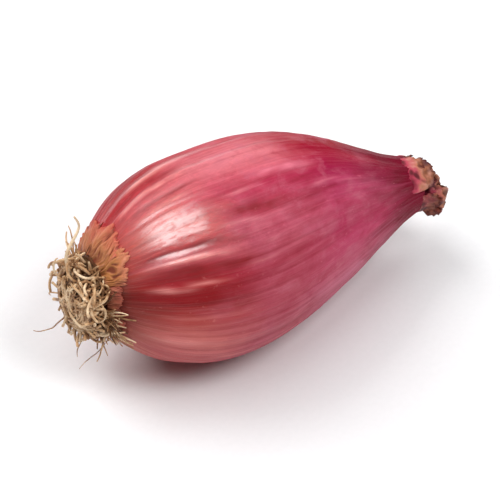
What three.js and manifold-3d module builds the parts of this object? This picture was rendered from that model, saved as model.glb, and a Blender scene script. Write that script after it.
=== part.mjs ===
// A long red onion of the torpedo kind, lying on its side as it rests on a table.
//
// Each piece is modelled along the onion's own axis, which is +Y, from the roots to the neck.
// +Z is the side that is uppermost when the onion lies down, and angles round the axis are
// counted from +Z towards +X. The outer group lays the onion down along +X. Millimetres.
import * as THREE from "three";
import { mergeVertices } from "three/addons/utils/BufferGeometryUtils.js";
import Module from "manifold-3d";

const wasm = await Module();
wasm.setup();

// ---- Driving dimensions ----

const BULB_LENGTH = 71.2; // from the root plate to the end of the neck
const BELLY_RADIUS = 19.8;

// The skin's outline: share of BULB_LENGTH, share of BELLY_RADIUS.
const OUTLINE = [
  [0, 0.31],
  [0.043, 0.51],
  [0.125, 0.77],
  [0.235, 0.945],
  [0.36, 1],
  [0.48, 0.982],
  [0.605, 0.885],
  [0.73, 0.715],
  [0.845, 0.505],
  [0.94, 0.34],
  [1, 0.265],
];
const BULB_ROWS = 34;
const BULB_COLUMNS = 160;

// Ribs run from the roots towards the neck: the angle of each in degrees, its height, and
// the share of BULB_LENGTH where it has faded. Those on the side that lies underneath are
// the lowest.
const RIBS = [
  [-62, 0.16, 0.5],
  [-48, 0.2, 0.5],
  [-37, 0.14, 0.45],
  [-27, 0.22, 0.52],
  [-14, 0.24, 0.58],
  [-3, 0.12, 0.45],
  [8, 0.2, 0.66],
  [19, 0.14, 0.5],
  [30, 0.2, 0.56],
  [40, 0.42, 0.38],
  [49, 0.24, 0.42],
  [58, 0.36, 0.5],
  [68, 0.12, 0.4],
  [84, 0.16, 0.5],
  [100, 0.18, 0.46],
  [115, 0.12, 0.5],
  [131, 0.16, 0.5],
  [148, 0.12, 0.5],
  [212, 0.12, 0.5],
  [226, 0.18, 0.52],
  [241, 0.14, 0.5],
  [253, 0.22, 0.46],
  [267, 0.16, 0.52],
  [281, 0.2, 0.5],
];
const RIB_WIDTH_DEG = 3.2;
const WAVE_HEIGHT = 0.22; // the broad folds that the ribs stand on
const REST_WIDTH_DEG = 32; // the ribs are pressed flat this far round from the underside
const OVAL_SHARE = 0.012; // how far the cross-section is from a circle
const NECK_RISE = 1.2; // how far the neck bends up, and to the far side
const NECK_SIDE = 2.2;

// How the onion lies: its neck a little lower than its roots, on a small flat spot.
const LIE_TILT_DEG = 7.2;
const FLAT_DEPTH = 0.45; // how far the flat spot is pressed into the round belly

const PLATE_RADIUS = 5.9;
const PLATE_HEIGHT = 1.7;
const PLATE_COLUMNS = 22;

const ROOT_COUNT = 42;
const ROOT_RADIUS = 0.32;
const ROOT_SIDES = 5;
const ROOT_STEPS = 9;
const ROOT_LENGTH = { shortest: 5.5, longest: 11 };
const ROOT_CURL = { least: 0.22, most: 0.5 }; // radians of turn for each millimetre grown
const ROOT_ATTEMPTS = 9000;
const ROOT_LEAN = { front: 0.3, down: 0.35 };
const TUFT_DEPTH = 5.6; // how far the tuft stands out past the root plate's rim
const TUFT_RADIUS = 8.8;
const TUFT_LEAN = { front: 1, down: 1.1 }; // how far the tuft sags from the plate's middle

// The roots that stand clear of the tuft. Flare is 0 straight out along the axis, and curl
// bends a root back over the bulb.
const STRAYS = [
  { angleDeg: -12, flare: 2.2, length: 9.5, curl: 0.11 },
  { angleDeg: -40, flare: 1.2, length: 6, curl: 0.1 },
  { angleDeg: -150, flare: 0.5, length: 7.8, curl: -0.02 },
  { angleDeg: 152, flare: 1.6, length: 8, curl: 0.14 },
];

// Where the outermost skin tore off round the root plate. Lean is where, from 0 to 1 across
// the flap, its longest point is.
const FLAPS = [
  { middleDeg: -3, widthDeg: 38, reach: 4.8, lean: 0.4 },
  { middleDeg: 31, widthDeg: 26, reach: 5, lean: 0.8 },
  { middleDeg: 62, widthDeg: 32, reach: 2.6, lean: 0.3 },
  { middleDeg: 98, widthDeg: 36, reach: 2.7, lean: 0.6 },
  { middleDeg: 138, widthDeg: 39, reach: 2.8, lean: 0.4 },
  { middleDeg: 180, widthDeg: 40, reach: 3, lean: 0.7 },
  { middleDeg: 222, widthDeg: 39, reach: 3.2, lean: 0.3 },
  { middleDeg: 263, widthDeg: 38, reach: 4, lean: 0.5 },
  { middleDeg: 309, widthDeg: 46, reach: 4.6, lean: 0.6 },
];
const FLAP_THICKNESS = 0.25;
const FLAP_LIFT = 0.2;

const STUB_HEIGHT = 3.5;
const STUB_BULGE = 4.8; // radius of the crumpled neck half way up
const STUB_COLUMNS = 30;
const STUB_TALLEST_DEG = 125;
const STUB_HANG = 1.3; // how far the crumpled end hangs over to its tallest side
const NECK_LEAVES = [
  { middleDeg: 20, widthDeg: 58, reach: 2.2, flare: 0.1 },
  { middleDeg: 110, widthDeg: 64, reach: 4, flare: 1.3 },
  { middleDeg: 190, widthDeg: 66, reach: 3, flare: 0.3 },
  { middleDeg: 282, widthDeg: 70, reach: 2.4, flare: 0.1 },
];
const NECK_LEAF_THICKNESS = 0.3;
const NECK_LEAF_LIFT = 0.22;

const GAP = 0.3; // clearance between pieces that touch
const HAIRLINE = 0.12; // clearance between pieces that grow from one another
const SKIN_ROOM = 1.6; // the roots stay this far out from the skin's plain outline

// ---- Materials ----

const finish = (color, roughness) =>
  new THREE.MeshStandardMaterial({ color, roughness, metalness: 0 });
const skin = finish(0xb5435a, 0.4);
const papery = finish(0xb9784c, 0.7);
const corky = finish(0x6e4f30, 0.9);
const rooty = finish(0xb48f66, 0.85);
const dried = finish(0xa2705a, 0.8);

// ---- Shared measures ----

const { degToRad, lerp, radToDeg, smoothstep } = THREE.MathUtils;
const TURN = Math.PI * 2;

const outline = new THREE.SplineCurve(
  OUTLINE.map(
    ([along, out]) =>
      new THREE.Vector2(out * BELLY_RADIUS, along * BULB_LENGTH),
  ),
).getPoints(BULB_ROWS);

// The plain radius of the skin at a height y, between two rows of the outline.
function outlineRadius(y) {
  const height = THREE.MathUtils.clamp(y, 0, BULB_LENGTH);
  const above = outline.findIndex((point, i) => i > 0 && point.y >= height);
  const [low, high] = [outline[above - 1], outline[above]];
  return lerp(low.x, high.x, (height - low.y) / (high.y - low.y));
}

// How many degrees an angle is from another, from -180 to 180.
function degreesFrom(angle, middleDeg) {
  return THREE.MathUtils.euclideanModulo(angle - middleDeg + 180, 360) - 180;
}

// The ribs sway a little on their way, and are strongest a quarter of the way up.
function ribHeight(t, angle) {
  const swayed =
    radToDeg(angle) +
    1.7 * Math.sin(6 * t + 2 * angle + 0.5) +
    0.9 * Math.sin(13 * t + 5 * angle + 2);
  return RIBS.reduce((sum, [middleDeg, height, fadedAt]) => {
    const away = degreesFrom(swayed, middleDeg) / RIB_WIDTH_DEG;
    const fade = 1 - smoothstep(t, fadedAt - 0.2, fadedAt + 0.14);
    return sum + height * Math.exp(-(away ** 2)) * fade;
  }, 0) * smoothstep(t, 0.015, 0.11);
}

function waveHeight(t, angle) {
  const uneven =
    angle + 0.15 * Math.sin(2 * angle + 0.6) + 0.07 * Math.sin(3 * angle + 2);
  const waves =
    0.6 * Math.cos(15 * uneven + 0.2) + 0.5 * Math.cos(8 * uneven + 2.1);
  const strength = smoothstep(t, 0, 0.2) * lerp(1, 0.4, smoothstep(t, 0.35, 0.9));
  return WAVE_HEIGHT * waves * strength;
}

function skinRadius(y, angle) {
  const t = THREE.MathUtils.clamp(y / BULB_LENGTH, 0, 1);
  const fromUnderside = degreesFrom(radToDeg(angle), 180) / REST_WIDTH_DEG;
  const free = 1 - 0.85 * Math.exp(-(fromUnderside ** 2));
  const oval = 1 + OVAL_SHARE * Math.cos(2 * angle);
  const relief = ribHeight(t, angle) + waveHeight(t, angle);
  return outlineRadius(y) * oval + free * relief;
}

// The middle of the onion at a height y: the upper half leans over a little.
function spine(y) {
  const lean = smoothstep(y / BULB_LENGTH, 0.3, 0.72);
  return new THREE.Vector3(-NECK_SIDE * lean, y, NECK_RISE * lean);
}

// The point at a radius and an angle round the spine.
function around(y, angle, radius) {
  return spine(y).add(
    new THREE.Vector3(
      radius * Math.sin(angle),
      0,
      radius * Math.cos(angle),
    ),
  );
}

// A repeatable run of random numbers from 0 to 1.
function randomRun(seed) {
  let state = seed;
  return () => {
    state = (state + 0x6d2b79f5) | 0;
    let t = Math.imul(state ^ (state >>> 15), 1 | state);
    t = (t + Math.imul(t ^ (t >>> 7), 61 | t)) ^ t;
    return ((t ^ (t >>> 14)) >>> 0) / 4294967296;
  };
}

// Moves each vertex of a geometry to the place that a function gives for it.
function reshape(geometry, place) {
  const position = geometry.getAttribute("position");
  const vertex = new THREE.Vector3();
  for (let i = 0; i < position.count; i++) {
    vertex.fromBufferAttribute(position, i);
    position.setXYZ(i, ...place(vertex).toArray());
  }
  geometry.computeVertexNormals();
  return geometry;
}

function solidOf(geometry) {
  const bare = geometry.clone();
  bare.deleteAttribute("normal");
  bare.deleteAttribute("uv");
  const merged = mergeVertices(bare, 1e-4);
  return new wasm.Manifold(
    new wasm.Mesh({
      numProp: 3,
      vertProperties: merged.attributes.position.array,
      triVerts: new Uint32Array(merged.index.array),
    }),
  );
}

function geometryOf(solid) {
  const { vertProperties, triVerts } = solid.getMesh();
  return new THREE.BufferGeometry()
    .setAttribute("position", new THREE.BufferAttribute(vertProperties, 3))
    .setIndex(new THREE.BufferAttribute(triVerts, 1));
}

// ---- How the onion lies ----

const lie = new THREE.Matrix4().makeRotationFromEuler(
  new THREE.Euler(0, degToRad(LIE_TILT_DEG), -Math.PI / 2),
);
const up = new THREE.Vector3(0, 0, 1).applyMatrix4(lie.clone().invert());
const heightAboveAxis = (point) => point.dot(up);

// ---- Bulb ----

function roundBulb() {
  const profile = [
    new THREE.Vector2(0, 0),
    ...outline,
    new THREE.Vector2(0, BULB_LENGTH),
  ];
  return reshape(
    new THREE.LatheGeometry(profile, BULB_COLUMNS),
    ({ x, y, z }) => {
      const angle = Math.atan2(x, z);
      const share = Math.hypot(x, z) / outlineRadius(y);
      return around(y, angle, share * skinRadius(y, angle));
    },
  );
}

function lowestLevel(geometry) {
  const position = geometry.getAttribute("position");
  const vertex = new THREE.Vector3();
  let level = Infinity;
  for (let i = 0; i < position.count; i++) {
    vertex.fromBufferAttribute(position, i);
    level = Math.min(level, heightAboveAxis(vertex));
  }
  return level;
}

const wholeBulb = roundBulb();
const FLOOR_LEVEL = lowestLevel(wholeBulb) + FLAT_DEPTH;

function bulbGeometry() {
  const side = 4 * BULB_LENGTH;
  const below = new THREE.BoxGeometry(side, side, side)
    .translate(0, 0, FLOOR_LEVEL - side / 2)
    .applyMatrix4(lie.clone().invert());
  return geometryOf(solidOf(wholeBulb).subtract(solidOf(below)));
}

// ---- Root plate ----

function plateGeometry() {
  const arch = new THREE.EllipseCurve(
    0,
    -HAIRLINE,
    PLATE_RADIUS,
    PLATE_HEIGHT,
    -Math.PI / 2,
    0,
  ).getPoints(5);
  const profile = [...arch, new THREE.Vector2(0, -HAIRLINE)];
  profile[0].x = 0;
  return reshape(
    new THREE.LatheGeometry(profile, PLATE_COLUMNS),
    ({ x, y, z }) => {
      const angle = Math.atan2(x, z);
      const knobs = 1 + 0.03 * Math.cos(7 * angle + 30 * y);
      return new THREE.Vector3(x * knobs, y, z * knobs);
    },
  );
}

// ---- Roots ----

const outwardAt = (angle) =>
  new THREE.Vector3(Math.sin(angle), 0, Math.cos(angle));

const randomAxis = (random) =>
  new THREE.Vector3(random() - 0.5, random() - 0.5, random() - 0.5).normalize();

// Where a root leaves the plate, at a share of the way out from its middle.
function rootStart(angle, reach) {
  const depth = PLATE_HEIGHT * Math.sqrt(1 - reach * reach);
  return outwardAt(angle)
    .multiplyScalar(reach * (PLATE_RADIUS + 0.8))
    .setY(-depth - HAIRLINE - ROOT_RADIUS * 1.2);
}

// The roots are spread over the plate as seeds on a flower head are.
function tuftRoot(index, random) {
  const goldenAngle = Math.PI * (3 - Math.sqrt(5));
  const reach = 0.96 * Math.sqrt((index + 0.5) / (ROOT_COUNT - STRAYS.length));
  const angle = index * goldenAngle + random();
  const flare = lerp(0.3, 2.4, random()) * reach;
  const lean = new THREE.Vector3(ROOT_LEAN.front, -1, -ROOT_LEAN.down);
  return {
    start: rootStart(angle, reach),
    heading: outwardAt(angle).multiplyScalar(flare).add(lean).normalize(),
    axis: randomAxis(random),
    length: lerp(ROOT_LENGTH.shortest, ROOT_LENGTH.longest, random()),
    curl: lerp(ROOT_CURL.least, ROOT_CURL.most, random()),
  };
}

function strayRoot({ angleDeg, flare, length, curl }, random) {
  const angle = degToRad(angleDeg) + 0.3 * (random() - 0.5);
  const outward = outwardAt(angle);
  const backwards = outward.clone().cross(new THREE.Vector3(0, 1, 0));
  return {
    start: rootStart(angle, 0.97),
    heading: outward.multiplyScalar(flare).setY(-1).normalize(),
    axis: backwards.addScaledVector(randomAxis(random), 0.3).normalize(),
    length,
    curl,
  };
}

// A root grows step by step, and turns as it goes.
function growRoot({ start, heading, axis, length, curl }, random) {
  const twist = randomAxis(random);
  const stride = length / ROOT_STEPS;
  const tip = start.clone();
  const points = [start];
  for (let step = 0; step < ROOT_STEPS; step++) {
    tip.addScaledVector(heading, stride);
    points.push(tip.clone());
    heading.applyAxisAngle(axis, curl * stride).normalize();
    axis.applyAxisAngle(twist, 0.2).normalize();
  }
  return new THREE.CatmullRomCurve3(points);
}

// A root stays off the skin, the plate and the table, and clear of the other roots.
function isClear(points, grown, isStray) {
  return points.every((point) => {
    const out = Math.hypot(point.x, point.z);
    const offSkin =
      point.y < -ROOT_RADIUS - HAIRLINE ||
      out > outlineRadius(point.y) + SKIN_ROOM;
    const dome = 1 - (out / (PLATE_RADIUS + 0.8)) ** 2;
    const offPlate =
      dome <= 0 ||
      point.y < -PLATE_HEIGHT * Math.sqrt(dome) - ROOT_RADIUS - HAIRLINE;
    const offTable = heightAboveAxis(point) > FLOOR_LEVEL + ROOT_RADIUS + GAP;
    const fromTuft = Math.hypot(point.x - TUFT_LEAN.front, point.z + TUFT_LEAN.down);
    const inTuft = isStray || (point.y > -TUFT_DEPTH && fromTuft < TUFT_RADIUS);
    if (!(offSkin && offPlate && offTable && inTuft)) return false;
    return grown.every((other) =>
      other.every(
        (taken) => taken.distanceTo(point) > 2 * ROOT_RADIUS + HAIRLINE,
      ),
    );
  });
}

// Each root is grown again, another way, until it finds room.
function growRoots() {
  const grown = [];
  return Array.from({ length: ROOT_COUNT }, (_, index) => {
    const stray = STRAYS[index];
    for (let attempt = 0; attempt < ROOT_ATTEMPTS; attempt++) {
      const random = randomRun(index * 977 + attempt * 131);
      const plan = stray
        ? strayRoot(stray, random)
        : tuftRoot(index - STRAYS.length, random);
      const curve = growRoot(plan, random);
      const points = curve.getSpacedPoints(ROOT_STEPS * 3);
      if (!isClear(points, grown, Boolean(stray))) continue;
      grown.push(points);
      return curve;
    }
    throw new Error(`no room for root ${index + 1}`);
  });
}

function rootGeometry(curve) {
  const corners = Array.from({ length: ROOT_SIDES }, (_, side) => {
    const angle = (side / ROOT_SIDES) * TURN;
    return new THREE.Vector2(Math.cos(angle), Math.sin(angle));
  });
  const section = new THREE.Shape(
    corners.map((corner) => corner.multiplyScalar(ROOT_RADIUS)),
  );
  return new THREE.ExtrudeGeometry(section, {
    steps: ROOT_STEPS,
    extrudePath: curve,
    bevelEnabled: false,
  });
}

// ---- Papery flaps ----

// A thin closed sheet: across and along run from 0 to 1, and depth is 0 inside and 1 outside.
function sheetGeometry(columns, rows, place) {
  return reshape(
    new THREE.BoxGeometry(1, 1, 1, columns, rows, 1),
    ({ x, y, z }) => place(x + 0.5, y + 0.5, z + 0.5),
  );
}

// Torn edge of the outermost skin, where it dried round the root plate.
function flapGeometry({ middleDeg, widthDeg, reach, lean }, index) {
  const random = randomRun(4001 + index * 61);
  const columns = 7;
  const teeth = Array.from({ length: columns + 1 }, () => lerp(0.78, 1, random()));
  return sheetGeometry(columns, 3, (across, along, depth) => {
    const fromTip = Math.abs(across - lean) / Math.max(lean, 1 - lean);
    const tooth = teeth[Math.round(across * columns)];
    const y = lerp(0.4, reach * tooth * lerp(1, 0.6, fromTip), along);
    const angle = degToRad(middleDeg + (across - 0.5) * widthDeg);
    const lift = FLAP_LIFT + 0.25 * along * along * tooth;
    const radius = skinRadius(y, angle) + lift + depth * FLAP_THICKNESS;
    return around(y, angle, radius);
  });
}

// ---- Dried neck ----

// The crumpled neck leans over more and more towards its rim, where share is 1.
function hangOver(share) {
  const angle = degToRad(STUB_TALLEST_DEG);
  return outwardAt(angle).multiplyScalar(STUB_HANG * smoothstep(share, 0.1, 1));
}

// Share is 0 at the neck and 1 at the rim of the stub.
function stubRadius(share, angle) {
  const start = outlineRadius(BULB_LENGTH) - 0.5;
  const plain = lerp(start, STUB_BULGE, Math.sin((share * Math.PI) / 2));
  const crumple =
    0.38 * Math.cos(7 * angle + 1.3 + 2 * share) + 0.2 * Math.cos(12 * angle);
  return plain + share * crumple;
}

function stubGeometry() {
  const base = BULB_LENGTH + HAIRLINE;
  const profile = [
    new THREE.Vector2(0, 0),
    new THREE.Vector2(1, 0),
    new THREE.Vector2(1, 0.3),
    new THREE.Vector2(1, 0.6),
    new THREE.Vector2(0.93, 0.86),
    new THREE.Vector2(0.7, 1),
    new THREE.Vector2(0.4, 0.9),
    new THREE.Vector2(0, 0.8),
  ];
  return reshape(
    new THREE.LatheGeometry(profile, STUB_COLUMNS),
    ({ x, y, z }) => {
      const angle = Math.atan2(x, z);
      const out = Math.hypot(x, z);
      const taller = 0.35 * Math.cos(angle - degToRad(STUB_TALLEST_DEG));
      const wave = 0.12 * Math.cos(5 * angle + 0.7);
      const height = base + STUB_HEIGHT * y * (1 + out * (taller + wave));
      return around(height, angle, out * stubRadius(y, angle)).add(hangOver(y));
    },
  );
}

// A dry leaf end that hugs the stub. Flare is how far its tip stands off.
function neckLeafGeometry({ middleDeg, widthDeg, reach, flare }, index) {
  const random = randomRun(7001 + index * 83);
  const columns = 7;
  const teeth = Array.from({ length: columns + 1 }, () => lerp(0.7, 1, random()));
  return sheetGeometry(columns, 4, (across, along, depth) => {
    const angle = degToRad(middleDeg + (across - 0.5) * widthDeg);
    const tooth = teeth[Math.round(across * columns)];
    const y = BULB_LENGTH + GAP + along * reach * tooth;
    const share = Math.min((y - BULB_LENGTH) / STUB_HEIGHT, 1);
    const lift = NECK_LEAF_LIFT + flare * along ** 2 + depth * NECK_LEAF_THICKNESS;
    return around(y, angle, stubRadius(share, angle) + lift).add(hangOver(share));
  });
}

// ---- Assembly ----

const onion = new THREE.Group();

function add(name, geometry, material) {
  const mesh = new THREE.Mesh(geometry, material);
  mesh.name = name;
  onion.add(mesh);
}

const numbered = (name, index) => `${name}_${String(index + 1).padStart(2, "0")}`;

add("bulb", bulbGeometry(), skin);
add("root_plate", plateGeometry(), corky);
growRoots().forEach((curve, i) =>
  add(numbered("root", i), rootGeometry(curve), rooty),
);
FLAPS.forEach((flap, i) =>
  add(numbered("collar_flap", i), flapGeometry(flap, i), papery),
);
add("neck_stub", stubGeometry(), dried);
NECK_LEAVES.forEach((leaf, i) =>
  add(numbered("neck_leaf", i), neckLeafGeometry(leaf, i), dried),
);

// The onion lies along +X, with the middle of its footprint's box at the origin.
onion.applyMatrix4(lie);
const part = new THREE.Group();
part.add(onion);
const box = new THREE.Box3().setFromObject(part, true);
const centre = box.getCenter(new THREE.Vector3());
onion.position.set(-centre.x, -centre.y, -FLOOR_LEVEL);

export default part;
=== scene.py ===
# A long red onion lying on a pale table, dressed for rendering.
import math
import random

import bpy
import numpy as np
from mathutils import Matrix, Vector, kdtree, noise


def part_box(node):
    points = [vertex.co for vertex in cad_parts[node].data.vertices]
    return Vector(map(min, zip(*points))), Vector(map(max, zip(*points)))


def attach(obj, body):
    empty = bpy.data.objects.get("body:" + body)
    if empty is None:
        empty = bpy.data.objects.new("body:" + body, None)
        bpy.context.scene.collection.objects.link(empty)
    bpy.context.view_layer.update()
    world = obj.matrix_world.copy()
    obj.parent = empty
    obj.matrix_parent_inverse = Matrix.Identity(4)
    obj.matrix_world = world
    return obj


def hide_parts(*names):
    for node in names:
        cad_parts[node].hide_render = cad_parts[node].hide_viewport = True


mm = 0.001
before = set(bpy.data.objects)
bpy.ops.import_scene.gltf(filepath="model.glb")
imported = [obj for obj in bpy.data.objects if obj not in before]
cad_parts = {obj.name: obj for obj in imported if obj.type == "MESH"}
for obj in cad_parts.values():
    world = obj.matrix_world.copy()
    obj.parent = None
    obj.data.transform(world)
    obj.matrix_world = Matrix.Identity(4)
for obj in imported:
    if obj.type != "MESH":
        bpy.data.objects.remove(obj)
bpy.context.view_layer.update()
print("frame loaded:", len(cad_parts), "nodes")


# small helpers
def deselectAll():
    if bpy.context.mode != "OBJECT":
        bpy.ops.object.mode_set(mode="OBJECT")
    bpy.ops.object.select_all(action="DESELECT")


def pick(piece):
    deselectAll()
    piece.select_set(True)
    bpy.context.view_layer.objects.active = piece


def nameActive(name):
    piece = bpy.context.object
    piece.name = piece.data.name = name
    return piece


def applied(piece, modifier):
    pick(piece)
    bpy.ops.object.modifier_apply(modifier=modifier.name)


def subdivide(piece, levels):
    smooth = piece.modifiers.new("smooth", "SUBSURF")
    smooth.levels = smooth.render_levels = levels
    applied(piece, smooth)


# a circle across the onion's length, left in edit mode with all of it selected
def startRing(name, columns, radius, fill):
    deselectAll()
    bpy.ops.mesh.primitive_circle_add(
        vertices=columns, radius=radius, fill_type=fill, location=(0, 0, 0), rotation=(0, math.pi / 2, 0)
    )
    piece = nameActive(name)
    bpy.ops.object.transform_apply(location=True, rotation=True, scale=True)
    bpy.ops.object.mode_set(mode="EDIT")
    bpy.ops.mesh.select_all(action="SELECT")
    return piece


# extrudes the selected ring, then grows it about its new centre
def nextRing(shift, grow, centre):
    bpy.ops.mesh.extrude_region_move(TRANSFORM_OT_translate={"value": shift})
    bpy.ops.transform.resize(value=(1, grow, grow), center_override=centre)


def readPoints(piece):
    points = np.empty(len(piece.data.vertices) * 3)
    piece.data.vertices.foreach_get("co", points)
    return points.reshape(-1, 3)


def writePoints(piece, points):
    piece.data.vertices.foreach_set("co", np.asarray(points, dtype=float).ravel())
    piece.data.update()


def storeValues(piece, name, values):
    values = np.asarray(values, dtype=np.float32)
    kind, field = ("FLOAT_VECTOR", "vector") if values.ndim == 2 else ("FLOAT", "value")
    piece.data.attributes.new(name, kind, "POINT").data.foreach_set(field, values.ravel())


def faceOutwards(piece):
    pick(piece)
    bpy.ops.object.mode_set(mode="EDIT")
    bpy.ops.mesh.select_all(action="SELECT")
    bpy.ops.mesh.remove_doubles(threshold=0.000001)
    bpy.ops.mesh.normals_make_consistent(inside=False)
    bpy.ops.object.mode_set(mode="OBJECT")


# smooth shading, the body it rides on, and the solids that it stands for, which it hides
def settle(piece, slot, *nodes):
    faceOutwards(piece)
    bpy.ops.object.shade_smooth()
    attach(piece, "root")
    if nodes:
        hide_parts(*nodes)
    return piece


def smoothstep(low, high, value):
    share = np.clip((np.asarray(value, dtype=float) - low) / (high - low), 0, 1)
    return share * share * (3 - 2 * share)


# rises over one span of values and falls over another
def between(value, rise, fall, depth=1):
    return smoothstep(*rise, value) * (1 - depth * smoothstep(*fall, value))


# the onion's own shape, in millimetres
# along runs from the root plate to the neck, around is counted from the top towards the front
onionShape = {
    "length": 71.2,
    "belly": 19.8,
    "outline": [
        (0, 0.31), (0.043, 0.51), (0.125, 0.77), (0.235, 0.945), (0.36, 1), (0.48, 0.982),
        (0.605, 0.885), (0.73, 0.715), (0.845, 0.505), (0.94, 0.34), (1, 0.265),
    ],
    "oval": 0.012,  # how much taller than wide, as a share
    "neckRise": 1.2,
    "neckSide": 2.2,
    "tilt": 7.2,  # degrees, its neck end down
    "restDepth": 0.45,  # how deep the belly is pressed flat
}
onionShift = Vector((0, 0, 0))  # makeBulb sets it, so that the onion fills its place in the frame


def outlineRadius(along):
    share, out = np.array(onionShape["outline"]).T
    slope = np.gradient(out, share)
    place = np.clip(np.asarray(along, dtype=float) / onionShape["length"], 0, 1)
    row = np.clip(np.searchsorted(share, place) - 1, 0, len(share) - 2)
    gap = share[row + 1] - share[row]
    t = (place - share[row]) / gap
    blend = (
        (2 * t**3 - 3 * t**2 + 1) * out[row]
        + (t**3 - 2 * t**2 + t) * gap * slope[row]
        + (-2 * t**3 + 3 * t**2) * out[row + 1]
        + (t**3 - t**2) * gap * slope[row + 1]
    )
    return blend * onionShape["belly"]


def spine(along):
    lean = smoothstep(0.3, 0.72, along / onionShape["length"])
    return onionShape["neckSide"] * lean, onionShape["neckRise"] * lean


def uprightPoints(along, around, radius):
    side, rise = spine(along)
    return np.stack([along, side - radius * np.sin(around), rise + radius * np.cos(around)], axis=-1)


def layDown(points):
    tilt = math.radians(onionShape["tilt"])
    x, y, z = np.asarray(points).T
    laid = [x * math.cos(tilt) + z * math.sin(tilt), y, z * math.cos(tilt) - x * math.sin(tilt)]
    return np.stack(laid, axis=-1) * mm + np.array(onionShift)


# smooth noise over the skin
def wander(along, around, alongScale, aroundScale, seed):
    places = zip(along * alongScale + seed, np.cos(around) * aroundScale, np.sin(around) * aroundScale)
    return np.array([noise.noise(place) for place in places])


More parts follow.
